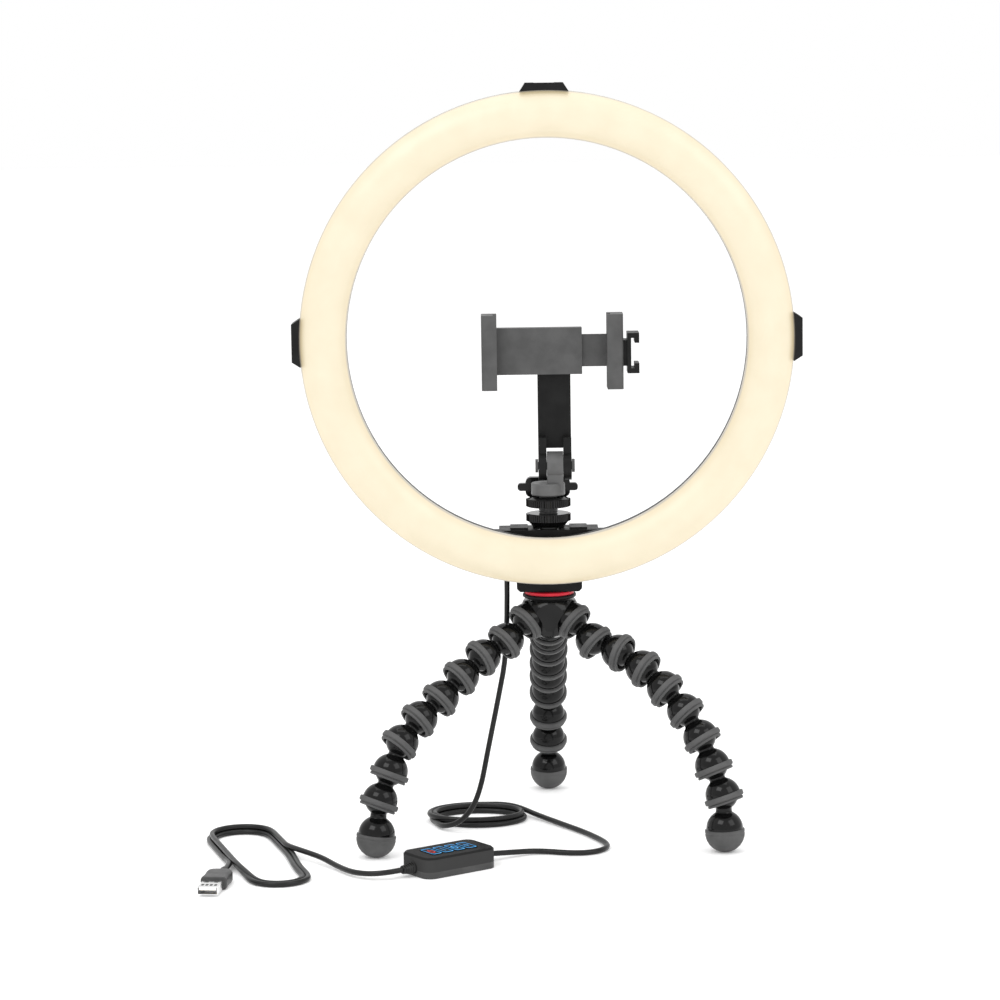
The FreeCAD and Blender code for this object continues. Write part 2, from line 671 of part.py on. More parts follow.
def coil_solid():
    """Closed outer shape of the small coil's stacked turns."""
    def oval(grow):
        ellipse = Part.Ellipse(vec(0, 0, 0), COIL_A + grow, COIL_B + grow)
        return Part.Face(Part.Wire([ellipse.toShape()])).extrude(vec(0, 0, COIL_HEIGHT))
    ring = oval(COIL_HALF_WIDTH).cut(oval(-COIL_HALF_WIDTH))
    ring.translate(vec(COIL_X, COIL_Y, 0))
    return ring


def loop_solid():
    """Closed outer shape of the long loop's turns: two straight sides and two round ends."""
    def stadium(grow):
        r, half = LOOP_BEND_R + grow, LOOP_STRAIGHT / 2
        ends = [rod(r, (x, 0, 0), (x, 0, LOOP_HEIGHT)) for x in (-half, half)]
        return fused(box(-half, half, -r, r, 0, LOOP_HEIGHT), *ends)
    ring = stadium(LOOP_HALF_WIDTH).cut(stadium(-LOOP_HALF_WIDTH))
    ring.rotate(vec(0, 0, 0), vec(0, 0, 1), LOOP_HEADING)
    ring.translate(vec(LOOP_X, LOOP_Y, 0))
    return ring


def remote_placed(shape):
    copy = shape.copy()
    copy.Placement = FreeCAD.Placement(
        vec(REMOTE_X, REMOTE_Y, 0), FreeCAD.Rotation(vec(0, 0, 1), REMOTE_YAW))
    return copy


def button_centres():
    return [BUTTON_PITCH * (i - 1.5) for i in range(4)]


def build_remote():
    half_l, half_w = REMOTE_LENGTH / 2, REMOTE_WIDTH / 2
    seam, corner = REMOTE_SEAM_Z, REMOTE_CORNER_R
    base = rounded(box(-half_l, half_l, -half_w, half_w, 0, seam), corner, (0, 0, 1))
    left = turned([(0, 0), (3.4, 0), (3.4, 2), (2.2, 8), (0, 8)], (-half_l, 0, 5), (-1, 0, 0))
    right = turned([(0, 0), (2.8, 0), (2.1, 4), (0, 4)], (half_l, 0, 5), (1, 0, 0))
    cover = rounded(box(-half_l, half_l, -half_w, half_w, seam, REMOTE_HEIGHT), corner, (0, 0, 1))
    rim = [e for e in cover.Edges if min(v.Z for v in e.Vertexes) > REMOTE_HEIGHT - 1e-6]
    cover = cover.makeChamfer(1.2, rim)
    half_x, half_y = BUTTON_WIDTH / 2, BUTTON_DEPTH / 2
    for x in button_centres():
        x0, x1 = x - half_x - POCKET_GAP, x + half_x + POCKET_GAP
        y1 = half_y + POCKET_GAP
        cover = cover.cut(box(x0, x1, -y1, y1, REMOTE_HEIGHT - 2.6, REMOTE_HEIGHT + 1))
    add("remote_base", remote_placed(base), cord=True)
    add("remote_cover", remote_placed(fused(cover, left, right)), cord=True)
    for name, x in zip(("power", "minus", "mode", "plus"), button_centres()):
        key = box(x - half_x, x + half_x, -half_y, half_y, REMOTE_HEIGHT - 2.0, REMOTE_HEIGHT + 0.25)
        add("button_" + name, remote_placed(rounded(key, 1.4, (0, 0, 1))), cord=True)


def plug_placed(shape):
    """Shape made along +X, laid on the floor at the plug's place."""
    copy = shape.copy()
    copy.Placement = FreeCAD.Placement(vec(*PLUG), FreeCAD.Rotation(vec(0, 0, 1), PLUG_HEADING))
    return copy


def build_plug():
    neck = turned([(0, 0), (2.2, 0), (3.0, 8), (0, 8)], (0, 0, 0), (1, 0, 0))
    grip = rounded(box(8, 33, -8, 8, -4, 4), 2.4, (1, 0, 0))
    shell = box(33, 51, -6, 6, -2.25, 2.25)
    hollow = box(34, 52, -5.7, 5.7, -1.95, 1.95)
    tongue = box(34, 50.4, -5.2, 5.2, 0.2, 1.95)
    add("plug_grip", plug_placed(fused(neck, grip)), cord=True)
    add("plug_shell", plug_placed(fused(cut(shell, hollow), tongue)), cord=True)


def build_cord():
    build_remote()
    build_plug()
    add("cable_drop", tube(DROP_ROUTE, "cable_drop"), cord=True)
    add("cable_coil", coil_solid(), cord=True)
    add("cable_run", tube(RUN_ROUTE, "cable_run"), cord=True)
    add("cable_lead", tube(LEAD_ROUTE, "cable_lead"), tube(TAIL_ROUTE, "cable_tail"), cord=True)
    add("cable_loop", loop_solid(), cord=True)


# ---------------------------------------------------------------- all together
def report_joint(name, point, azimuth, bend):
    print("HINGE %s pos %.4f %.4f %.4f azimuth %.1f bend %.3f low %.3f high %.3f"
          % (name, point.x, point.y, point.z, azimuth, bend, -SWING - bend, SWING - bend))


def main():
    os.makedirs("parts", exist_ok=True)
    build_head()
    build_hub()
    feet, joints = build_legs()
    build_clamp()
    build_cord()
    shift = -(feet["rear"].y + FOOT_R + min(feet["left"].y, feet["right"].y) - FOOT_R) / 2
    print("SHIFT_Y %.6f" % shift)
    for name, point, azimuth, bend in joints:
        report_joint(name, point + vec(0, shift, 0), azimuth, bend)
    for side, point in feet.items():
        print("FOOT %s %.4f %.4f" % (side, point.x, point.y + shift))
    for name, shapes in nodes.items():
        shape = Part.makeCompound(shapes) if len(shapes) > 1 else shapes[0]
        shape = shape.copy()
        shape.translate(vec(0, shift, 0))
        solids = shape.Solids
        if len(solids) != len(shapes) or not shape.isValid():
            print("CHECK %s: %d solids for %d pieces, valid %s" % (name, len(solids), len(shapes), shape.isValid()))
        Part.makeCompound(solids).exportStep("parts/%s.step" % name)
    print("nodes %d, solids %d" % (len(nodes), sum(len(s) for s in nodes.values())))


main()
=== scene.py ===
"""Looks of the ring light: camera, cords, materials and the moulded detail that the frame leaves plain.

Metres, +Z up, the lit face looks along -Y. Places of the frame's pieces are read from the frame; the
dimensions below repeat the design's where a moulding or a cord takes the place of a plain piece.
"""
import bpy
import bmesh
import json
import math
from mathutils import Matrix, Vector


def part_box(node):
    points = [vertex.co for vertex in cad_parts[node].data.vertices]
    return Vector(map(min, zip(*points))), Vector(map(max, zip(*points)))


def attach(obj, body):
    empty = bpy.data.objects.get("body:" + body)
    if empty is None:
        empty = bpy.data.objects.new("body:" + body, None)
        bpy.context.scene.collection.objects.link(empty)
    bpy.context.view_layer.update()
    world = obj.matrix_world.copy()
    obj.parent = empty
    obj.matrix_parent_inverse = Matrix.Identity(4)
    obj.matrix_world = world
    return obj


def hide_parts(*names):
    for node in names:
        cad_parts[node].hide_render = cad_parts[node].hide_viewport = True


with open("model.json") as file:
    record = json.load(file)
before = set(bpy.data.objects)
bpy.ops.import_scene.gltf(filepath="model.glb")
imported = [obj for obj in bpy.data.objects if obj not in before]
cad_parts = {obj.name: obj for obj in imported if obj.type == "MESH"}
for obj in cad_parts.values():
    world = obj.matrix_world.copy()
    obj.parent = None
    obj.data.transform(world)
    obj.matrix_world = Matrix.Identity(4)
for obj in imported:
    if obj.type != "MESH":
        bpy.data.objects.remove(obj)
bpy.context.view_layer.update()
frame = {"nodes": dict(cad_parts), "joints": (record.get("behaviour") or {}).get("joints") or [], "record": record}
NODES = frame["nodes"]
JOINTS = {joint["name"]: joint for joint in frame["joints"]}
MOUNTS = {mount["name"]: mount for mount in frame["record"]["mounts"]}

# ---------------------------------------------------------------- driving dimensions
AXIS_Y = sum(corner.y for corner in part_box("mount_screw")) / 2

CORD_D = 0.0034
# a curve's bounds grow by its point radius, so it is kept small and the bevel made larger
POINT_RADIUS = 0.001
REMOTE_YAW = math.radians(36.0)
PLUG_NECK = (-0.1992, -0.108, 0.0041)
PLUG_HEADING = math.radians(-97.0)

COIL_CENTRE = Vector((-0.047, 0.0335))
COIL_A, COIL_B = 0.0285, 0.021
COIL_START, COIL_END = 195.0, 81.0
COIL_WHOLE_TURNS = 3
LOOP_CENTRE = Vector((-0.1805, -0.0675))
LOOP_HEADING = math.radians(-74.0)
LOOP_STRAIGHT, LOOP_BEND_R = 0.108, 0.0195
LOOP_TURNS = 2.45

BALL_R, DOME_R, SEAT_R, NECK_R = 0.0093, 0.0109, 0.0103, 0.0050
BALL_PLAY = 0.00025
FILLET = 0.0002
GRIP_R, GRIP_BORE_R, GRIP_TOP, MOUTH = 0.0124, 0.0096, 0.0055, 0.0035
LINK_PITCH, FOOT_PITCH, FOOT_R = 0.0190, 0.0234, 0.0123
FOOT_SLEEVE, FOOT_DOME_R, FOOT_CORE_R, FOOT_CORE = 0.0024, 0.0114, 0.0080, 0.004
FOOT_FLAT = 0.0003
ROOT_DROP = math.radians(35.0)
LEG_AZIMUTH = {"left": 210.0, "right": 330.0, "rear": 90.0}
LINKS_PER_LEG = 8

DIFFUSER_BAND = 0.0289
THREAD_PITCH, THREAD_R, THREAD_CORE_R, THREAD_BORE_R = 0.001, 0.0060, 0.0053, 0.0040

REMOTE_HALF_LENGTH = 0.026
RELIEF_Z = 0.005
KEYS = ("power", "minus", "mode", "plus")
KEY_HALF_X, KEY_HALF_Y = 0.0033, 0.0071
KEY_LINE, SIGN_LINE = 0.00034, 0.00042
INK = 0.0001
SIGN_STRETCH = 2.2

NECK_LENGTH = 0.0082
CONTACT_PITCH, CONTACT_HALF = 0.0024, 0.0006
# heights of the black bars painted as the shade in the plug's windows
WINDOW_Z = (0.0022, 0.00232)

CAMERA_OFFSET = Vector((-0.0302, -2.109, 0.4958))
CAMERA_PITCH = math.radians(7.66)
CAMERA_ROLL = math.radians(0.8)
CAMERA_LENS = 122.4


def at(x, y, z):
    """Point measured from the stand's upright axis."""
    return Vector((x, AXIS_Y + y, z))


# ---------------------------------------------------------------- camera
def make_camera():
    """Camera in front of the light, tipped down and turned a little about its own line of sight."""
    sin_p, cos_p = math.sin(CAMERA_PITCH), math.cos(CAMERA_PITCH)
    sin_r, cos_r = math.sin(CAMERA_ROLL), math.cos(CAMERA_ROLL)
    up = Vector((0, sin_p, cos_p))
    right = Vector((1, 0, 0))
    forward = Vector((0, cos_p, -sin_p))
    columns = (right * cos_r - up * sin_r, right * sin_r + up * cos_r, -forward)
    turn = Matrix(columns).transposed().to_4x4()
    data = bpy.data.cameras.new("camera")
    data.lens = CAMERA_LENS
    data.sensor_width = 36.0
    data.clip_end = 30.0
    camera = bpy.data.objects.new("camera", data)
    bpy.context.scene.collection.objects.link(camera)
    camera.matrix_world = Matrix.Translation(at(*CAMERA_OFFSET)) @ turn
    bpy.context.scene.camera = camera


# ---------------------------------------------------------------- cords
DROP_ROUTE = [
    (-0.0265, 0.006, 0.165), (-0.0265, 0.006, 0.118), (-0.0332, 0.006, 0.084), (-0.0404, 0.0056, 0.050),
    (-0.0446, 0.0034, 0.029), (-0.0502, 0.0006, 0.015), (-0.0592, -0.0004, 0.0058),
    (-0.0694, 0.0058, 0.0024), (-0.074, 0.0205, 0.002),
]
RUN_ROUTE = [
    (-0.030, 0.0572, 0.0048), (-0.020, 0.050, 0.0042), (-0.009, 0.034, 0.0026), (0.006, 0.011, 0.002),
    (0.022, -0.015, 0.0018), (0.0334, -0.042, 0.0019), (0.0332, -0.0555, 0.0018),
    (0.025, -0.0658, 0.0018), (0.0115, -0.0686, 0.0019), (-0.010, -0.060, 0.0018),
    (-0.0268, -0.0704, 0.0034), (-0.0395, -0.0796, 0.005),
]
LEAD_ROUTE = [
    (-0.0922, -0.1179, 0.005), (-0.1012, -0.1226, 0.0045), (-0.1122, -0.1212, 0.0036),
    (-0.1226, -0.1124, 0.0028), (-0.132, -0.096, 0.0026), (-0.142, -0.080, 0.0042),
    (-0.1535, -0.0675, 0.0052),
]
TAIL_ROUTE = [(-0.1978, -0.084, 0.003), (-0.19774, -0.09609, 0.0041), PLUG_NECK]

# where each turn lies in its bundle: (outwards from the middle line, height)
COIL_LAYERS = [(0.0018, 0.00175), (-0.0018, 0.00175), (0.0, 0.0049), (0.0033, 0.0049), (0.0033, 0.0049)]
LOOP_LAYERS = [(0.0, 0.0049), (-0.0016, 0.00175), (0.0019, 0.00175), (0.0019, 0.00175)]


def ease(value):
    """Smooth step from 0 to 1."""
    value = min(max(value, 0.0), 1.0)
    return value * value * (3 - 2 * value)


def between(first, second, share):
    """Tuple a share of the way from the first to the second."""
    return tuple(a + (b - a) * share for a, b in zip(first, second))


def coil_points():
    """Oval turns, clockwise from above, each stepping to the next turn's place as it closes."""
    total = 360.0 * COIL_WHOLE_TURNS + COIL_START - COIL_END
    degrees_a_step = 22.5
    change = 0.20
    steps = round(total / degrees_a_step)
    points = []
    for i in range(steps + 1):
        turned = total * i / steps
        turn, share = divmod(turned / 360.0, 1.0)
        step = ease((share - 1.0 + change) / change)
        grow, height = between(COIL_LAYERS[int(turn)], COIL_LAYERS[int(turn) + 1], step)
        angle = math.radians(COIL_START - turned)
        x = COIL_CENTRE.x + (COIL_A + grow) * math.cos(angle)
        y = COIL_CENTRE.y + (COIL_B + grow) * math.sin(angle)
        points.append((x, y, height))
    return points


def loop_place(distance, grow):
    """Point of the long loop, counter-clockwise from the middle of its right side."""
    half, bend = LOOP_STRAIGHT / 2, math.pi * LOOP_BEND_R
    distance = distance % (2 * LOOP_STRAIGHT + 2 * bend)
    radius = LOOP_BEND_R + grow
    if distance < half:
        along, out = -distance, radius
    elif distance < half + bend:
        angle = (distance - half) / LOOP_BEND_R
        along, out = -half - radius * math.sin(angle), radius * math.cos(angle)
    elif distance < 3 * half + bend:
        along, out = distance - 2 * half - bend, -radius
    elif distance < 3 * half + 2 * bend:
        angle = (distance - 3 * half - bend) / LOOP_BEND_R
        along, out = half + radius * math.sin(angle), -radius * math.cos(angle)
    else:
        along, out = 4 * half + 2 * bend - distance, radius
    lengthwise = Vector((math.cos(LOOP_HEADING), math.sin(LOOP_HEADING)))
    sideways = Vector((-lengthwise.y, lengthwise.x))
    return LOOP_CENTRE + lengthwise * along + sideways * out


def loop_points():
    """Nearly two and a half turns: the first rides on the others, then drops inside them."""
    perimeter = 2 * LOOP_STRAIGHT + 2 * math.pi * LOOP_BEND_R
    steps_a_turn = 32
    start = 0.012
    # the first turn drops inside the others halfway round, and comes out to their line as it closes
    inside = (-0.0050, 0.00175)
    drop_from, drop_over = 0.52, 0.14
    drop_end = 0.75
    first_change, change = 0.16, 0.14
    points = []
    for i in range(int(LOOP_TURNS * steps_a_turn) + 1):
        turn, share = divmod(i / steps_a_turn, 1.0)
        if turn == 0 and share < drop_end:
            grow, height = between(LOOP_LAYERS[0], inside, ease((share - drop_from) / drop_over))
        elif turn == 0:
            step = ease((share - 1.0 + first_change) / first_change)
            grow, height = between(inside, LOOP_LAYERS[1], step)
        else:
            step = ease((share - 1.0 + change) / change)
            grow, height = between(LOOP_LAYERS[int(turn)], LOOP_LAYERS[int(turn) + 1], step)
        place = loop_place(start + perimeter * i / steps_a_turn, grow)
        points.append((place.x, place.y, height))
    return points


def make_cord(name, route, covers):
    """Round cord along a route, in place of the frame's plain cable pieces; returns its length too."""
    data = bpy.data.curves.new(name, "CURVE")
    data.dimensions = "3D"
    data.bevel_depth = CORD_D / 2 / POINT_RADIUS
    data.bevel_resolution = 4
    data.resolution_u = 6
    data.use_fill_caps = True
    spline = data.splines.new("NURBS")
    spline.points.add(len(route) - 1)
    for point, place in zip(spline.points, route):
        point.co = (*at(*place), 1.0)
        point.radius = POINT_RADIUS
    spline.order_u = 3
    spline.use_endpoint_u = True
    cord = bpy.data.objects.new(name, data)
    bpy.context.scene.collection.objects.link(cord)
    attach(cord, "stand_and_ring")
    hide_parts(*covers)
    return cord, spline.calc_length()


def make_cords():
    """Cord from the head to the remote, and cord from the remote to the plug."""
    head_route = DROP_ROUTE + coil_points() + RUN_ROUTE
    head_cord, head_length = make_cord("cord_head", head_route, ("cable_drop", "cable_coil", "cable_run"))
    usb_route = LEAD_ROUTE + loop_points() + TAIL_ROUTE
    usb_cord, usb_length = make_cord("cord_usb", usb_route, ("cable_lead", "cable_loop"))
    print("CORDS", round(head_length, 4), round(usb_length, 4))
    return head_cord, head_length, usb_cord, usb_length


# ---------------------------------------------------------------- materials
class Paint:
    """Node tree of one material, with short calls for the nodes used here."""

    def __init__(self, name):
        self.material = bpy.data.materials.new(name)
        self.material.use_nodes = True
        self.tree = self.material.node_tree
        self.shader = self.tree.nodes["Principled BSDF"]
        coordinates = self.tree.nodes.new("ShaderNodeTexCoord")
        self.place = coordinates.outputs["Object"]

    def link(self, source, target):
        self.tree.links.new(source, target)

    def noise(self, scale, detail=3.0):
        node = self.tree.nodes.new("ShaderNodeTexNoise")
        node.inputs["Scale"].default_value = scale
        node.inputs["Detail"].default_value = detail
        self.link(self.place, node.inputs["Vector"])
        return node.outputs["Fac"]

    def ramp(self, source, stops):
        node = self.tree.nodes.new("ShaderNodeValToRGB")
        elements = node.color_ramp.elements
        while len(elements) < len(stops):
            elements.new(0.5)
        for element, (position, colour) in zip(elements, stops):
            element.position = position
            element.color = (*colour, 1.0)
        self.link(source, node.inputs["Fac"])
        return node.outputs["Color"]

    def math(self, operation, first, second):
        node = self.tree.nodes.new("ShaderNodeMath")
        node.operation = operation
        for socket, value in zip(node.inputs, (first, second)):
            if isinstance(value, (int, float)):
                socket.default_value = value
            else:
                self.link(value, socket)
        return node.outputs["Value"]

    def bump(self, height, strength, distance):
        node = self.tree.nodes.new("ShaderNodeBump")
        node.inputs["Strength"].default_value = strength
        node.inputs["Distance"].default_value = distance
        self.link(height, node.inputs["Height"])
        self.link(node.outputs["Normal"], self.shader.inputs["Normal"])

    def set(self, **values):
        for name, value in values.items():
            self.shader.inputs[name.replace("_", " ")].default_value = value


def moulded(name, dark, light, rough, grain, strength, shine=0.5):
    """Moulded plastic or rubber: slight mottling of colour and sheen over a fine grain."""
    paint = Paint(name)
    mottle = paint.noise(90.0)
    paint.link(paint.ramp(mottle, [(0.35, dark), (0.65, light)]), paint.shader.inputs["Base Color"])
    sheen = paint.ramp(paint.noise(140.0), [(0.3, (rough * 0.85,) * 3), (0.7, (rough * 1.15,) * 3)])
    paint.link(sheen, paint.shader.inputs["Roughness"])
    paint.bump(paint.noise(grain, 2.0), strength, 0.0002)
    paint.set(Specular_IOR_Level=shine)
    return paint.material


def metal(name, dark, light, rough):
    """Drawn metal: brushed along its length, with faint handling marks."""
    paint = Paint(name)
    stretch = paint.tree.nodes.new("ShaderNodeMapping")
    stretch.inputs["Scale"].default_value = (40.0, 900.0, 900.0)
    paint.link(paint.place, stretch.inputs["Vector"])
    paint.place = stretch.outputs["Vector"]
    streaks = paint.noise(3.0)
    paint.link(paint.ramp(streaks, [(0.3, dark), (0.7, light)]), paint.shader.inputs["Base Color"])
    spread = paint.ramp(streaks, [(0.3, (rough * 0.8,) * 3), (0.7, (rough * 1.3,) * 3)])
    paint.link(spread, paint.shader.inputs["Roughness"])
    paint.bump(streaks, 0.05, 0.0001)
    paint.set(Metallic=1.0)
    return paint.material


def lit_diffuser():
    """Opal plastic lit from behind: even cream light that falls off where the side walls turn away."""
    paint = Paint("opal_lit")
    low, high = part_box("ring_diffuser")
    middle = (low + high) / 2
    radius_out = (high.x - low.x) / 2
    half_band = DIFFUSER_BAND / 2
    split = paint.tree.nodes.new("ShaderNodeSeparateXYZ")
    paint.link(paint.place, split.inputs["Vector"])
    across = paint.math("SUBTRACT", split.outputs["X"], middle.x)
    upwards = paint.math("SUBTRACT", split.outputs["Z"], middle.z)
    square = paint.math("ADD", paint.math("POWER", across, 2.0), paint.math("POWER", upwards, 2.0))
    radius = paint.math("SQRT", square, 0.0)
    off_middle = paint.math("ABSOLUTE", paint.math("SUBTRACT", radius, radius_out - half_band), 0.0)
    share = paint.math("DIVIDE", off_middle, half_band)
    glow = paint.ramp(share, [
        (0.0, (0.52, 0.450, 0.295)), (0.70, (0.52, 0.445, 0.285)), (0.93, (0.50, 0.410, 0.240)),
        (0.985, (0.22, 0.20, 0.17)),
    ])
    paint.link(glow, paint.shader.inputs["Emission Color"])
    grain = paint.noise(60.0)
    paint.link(paint.ramp(grain, [(0.3, (0.30, 0.28, 0.24)), (0.7, (0.33, 0.31, 0.27))]),
               paint.shader.inputs["Base Color"])
    paint.bump(paint.noise(700.0, 2.0), 0.05, 0.0001)
    paint.set(Emission_Strength=1.0, Roughness=0.42)
    return paint.material


def black_topped(name, side, top):
    """Grey moulding whose upward faces carry a glossy black film."""
    paint = Paint(name)
    split = paint.tree.nodes.new("ShaderNodeSeparateXYZ")
    paint.link(paint.tree.nodes["Texture Coordinate"].outputs["Normal"], split.inputs["Vector"])
    mottle = paint.math("MULTIPLY", paint.noise(90.0), 0.06)
    upward = paint.math("ADD", split.outputs["Z"], mottle)
    paint.link(paint.ramp(upward, [(0.55, side), (0.85, top)]), paint.shader.inputs["Base Color"])
    sheen = paint.ramp(upward, [(0.55, (0.42,) * 3), (0.85, (0.25,) * 3)])
    paint.link(sheen, paint.shader.inputs["Roughness"])
    paint.bump(paint.noise(2600.0, 2.0), 0.08, 0.0002)
    paint.set(Specular_IOR_Level=0.01)
    return paint.material


def make_materials():
    """Every material of the object, by its short name."""
    return {
        "cover": black_topped("remote_cover", (0.045,) * 3, (0.005,) * 3),
        "opal": lit_diffuser(),
        "shell": moulded("shell_black", (0.006,) * 3, (0.010,) * 3, 0.42, 2600.0, 0.25, 0.14),
        "gloss": moulded("gloss_black", (0.003,) * 3, (0.006,) * 3, 0.13, 500.0, 0.02, 0.22),
        "grip": moulded("grip_rubber", (0.060,) * 3, (0.080,) * 3, 0.62, 3200.0, 0.35, 0.35),
        "grey": moulded("column_grey", (0.085,) * 3, (0.110,) * 3, 0.40, 2400.0, 0.22, 0.35),
        "jaw": moulded("jaw_grey", (0.055,) * 3, (0.072,) * 3, 0.50, 2600.0, 0.30, 0.35),
        "board": moulded("board_white", (0.70, 0.70, 0.66), (0.80, 0.80, 0.76), 0.35, 900.0, 0.05),
        "red": moulded("red_rubber", (0.62, 0.012, 0.030), (0.74, 0.022, 0.045), 0.45, 2000.0, 0.15, 0.3),
        "cable": moulded("cable_black", (0.008,) * 3, (0.012,) * 3, 0.33, 1500.0, 0.08, 0.25),
        "remote": moulded("remote_grey", (0.040,) * 3, (0.055,) * 3, 0.42, 2600.0, 0.22, 0.35),
        "button": moulded("button_black", (0.004,) * 3, (0.006,) * 3, 0.30, 900.0, 0.04, 0.01),
        "ink_blue": moulded("ink_blue", (0.03, 0.36, 0.85), (0.05, 0.44, 0.95), 0.40, 1800.0, 0.05, 0.2),
        "ink_red": moulded("ink_red", (0.72, 0.015, 0.02), (0.85, 0.03, 0.03), 0.40, 1800.0, 0.05, 0.2),
        "steel": metal("screw_steel", (0.16,) * 3, (0.24,) * 3, 0.30),
        "plug": metal("plug_metal", (0.72,) * 3, (0.86,) * 3, 0.16),
        "gold": metal("contact_gold", (0.70, 0.48, 0.16), (0.85, 0.62, 0.25), 0.22),
    }


NODE_PAINT = {
    "ring_diffuser": "opal", "ring_housing": "shell", "led_board": "board", "housing_screws": "steel",
    "ring_shoes": "shell", "bridge": "shell", "cable_gland": "shell", "lock_wheel": "shell",
    "wheel_pad": "red", "mount_screw": "steel", "shoe_foot": "grey", "lower_nut": "gloss",
    "upper_nut": "gloss", "clamp_column": "grey", "wing_knob": "gloss", "tilt_arm": "shell",
    "clamp_body": "jaw", "sliding_jaw": "jaw", "side_shoe": "shell", "remote_base": "remote",
    "remote_cover": "cover", "button_power": "button", "button_minus": "button",
    "button_mode": "button", "button_plus": "button", "plug_shell": "plug",
}


def paint_nodes(paints):
    """Materials of the frame's pieces that show as they are."""
    for node, paint in NODE_PAINT.items():
        slots = NODES[node].data.materials
        slots.clear()
        slots.append(paints[paint])


# ---------------------------------------------------------------- mesh helpers
def finish_mesh(mesh, name, paint, crease=32.0):
    """Mesh data from a bmesh, smooth except along edges sharper than crease in degrees."""
    bmesh.ops.recalc_face_normals(mesh, faces=mesh.faces)
    for face in mesh.faces:
        face.smooth = True
    for edge in mesh.edges:
        if len(edge.link_faces) == 2:
            edge.smooth = edge.calc_face_angle(0.0) < math.radians(crease)
    data = bpy.data.meshes.new(name)
    mesh.to_mesh(data)
    mesh.free()
    data.materials.append(paint)
    return data


def add_piece(name, data, body, place=None):
    """Object with this mesh, riding on a body and made of a slot's material."""
    piece = bpy.data.objects.new(name, data)
    bpy.context.scene.collection.objects.link(piece)
    if place is not None:
        piece.matrix_world = place
    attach(piece, body)
    return piece


def lathe(profile, segments=48):
    """Closed solid of revolution about Z from (radius, z) corners; radius 0 makes a pole."""
    mesh = bmesh.new()
    rings = []
    for radius, z in profile:
        if radius == 0:
            rings.append([mesh.verts.new((0, 0, z))])
            continue
        ring = []
        for i in range(segments):
            angle = 2 * math.pi * i / segments
            ring.append(mesh.verts.new((radius * math.cos(angle), radius * math.sin(angle), z)))
        rings.append(ring)
    closed = profile[0][0] != 0
    pairs = list(zip(rings, rings[1:])) + ([(rings[-1], rings[0])] if closed else [])
    for low, high in pairs:
        for i in range(segments):
            j = (i + 1) % segments
            corners = [low[i % len(low)], low[j % len(low)], high[j % len(high)], high[i % len(high)]]
            corners = list(dict.fromkeys(corners))
            if len(corners) > 2:
                mesh.faces.new(corners)
    return mesh


def arc(radius, centre_z, start, end, steps):
    """Profile corners of an arc about a centre on the axis; angles in degrees above the equator."""
    points = []
    for i in range(steps + 1):
        angle = math.radians(start + (end - start) * i / steps)
        points.append((max(radius * math.cos(angle), 0.0), centre_z + radius * math.sin(angle)))
    return points


def standing(centre, axis):
    """Placement with +Z along axis."""
    return Matrix.Translation(centre) @ axis.to_track_quat("Z", "Y").to_matrix().to_4x4()


# ---------------------------------------------------------------- legs and hub
def ball_to_dome(dome_r, dome_z):
    """Profile of a ball, its neck and the dome above it, with a small fillet at each end of the neck."""
    neck_low = math.sqrt(BALL_R ** 2 - NECK_R ** 2)
    neck_high = dome_z - math.sqrt(dome_r ** 2 - NECK_R ** 2)
    low_angle = math.degrees(math.asin(neck_low / BALL_R))
    high_angle = math.degrees(math.asin((neck_high - dome_z) / dome_r))
    profile = [(0.0, -BALL_R)]
    profile += arc(BALL_R, 0.0, -78, low_angle - 3, 18)
    profile += [(NECK_R + FILLET / 2, neck_low + FILLET), (NECK_R, (neck_low + neck_high) / 2)]
    profile += [(NECK_R + FILLET / 2, neck_high - FILLET)]
    return profile + arc(dome_r, dome_z, high_angle + 3, 0, 16)


def link_mesh(paint):
    """One moulded link: a ball below, and a dome above with the well that holds the next ball."""
    mouth = LINK_PITCH + MOUTH
    well_r = BALL_R + BALL_PLAY
    well_edge = math.degrees(math.asin(MOUTH / well_r))
    profile = ball_to_dome(DOME_R, LINK_PITCH)
    profile += [(DOME_R, LINK_PITCH + FILLET / 2), (SEAT_R, LINK_PITCH + FILLET), (SEAT_R, mouth)]
    profile += arc(well_r, LINK_PITCH, well_edge, -84, 14)
    profile += [(0.0, LINK_PITCH - well_r)]
    return finish_mesh(lathe(profile), "link", paint, 40.0)


def grip_mesh(paint):
    """Rubber ring on a socket's mouth: rounded rim, thin lip, and a shadow groove between them."""
    profile = [
        (SEAT_R, FILLET), (GRIP_R - 0.0007, FILLET), (GRIP_R - 0.0002, 0.0004), (GRIP_R, 0.0009),
        (GRIP_R, MOUTH - 0.0008), (GRIP_R - 0.0002, MOUTH - 0.0003), (GRIP_R - 0.0006, MOUTH),
        (GRIP_R - 0.0012, MOUTH + 0.0001), (GRIP_R - 0.0014, MOUTH + 0.0004),
        (GRIP_R - 0.0010, MOUTH + 0.0008), (GRIP_R - 0.0010, GRIP_TOP - 0.0005),
        (GRIP_R - 0.0013, GRIP_TOP), (GRIP_BORE_R + 0.0003, GRIP_TOP),
        (GRIP_BORE_R, GRIP_TOP - 0.0003), (GRIP_BORE_R, MOUTH), (SEAT_R, MOUTH),
    ]
    return finish_mesh(lathe(profile), "grip_ring", paint, 40.0)


def foot_link_mesh(paint):
    """Last link of a leg: a ball below, and a dome above with the core that the cap is pushed onto."""
    top = FOOT_PITCH - FOOT_SLEEVE
    profile = ball_to_dome(FOOT_DOME_R, top)
    profile += [(FOOT_CORE_R, top), (FOOT_CORE_R, top + FOOT_CORE), (0.0, top + FOOT_CORE)]
    return finish_mesh(lathe(profile), "foot_link", paint, 40.0)


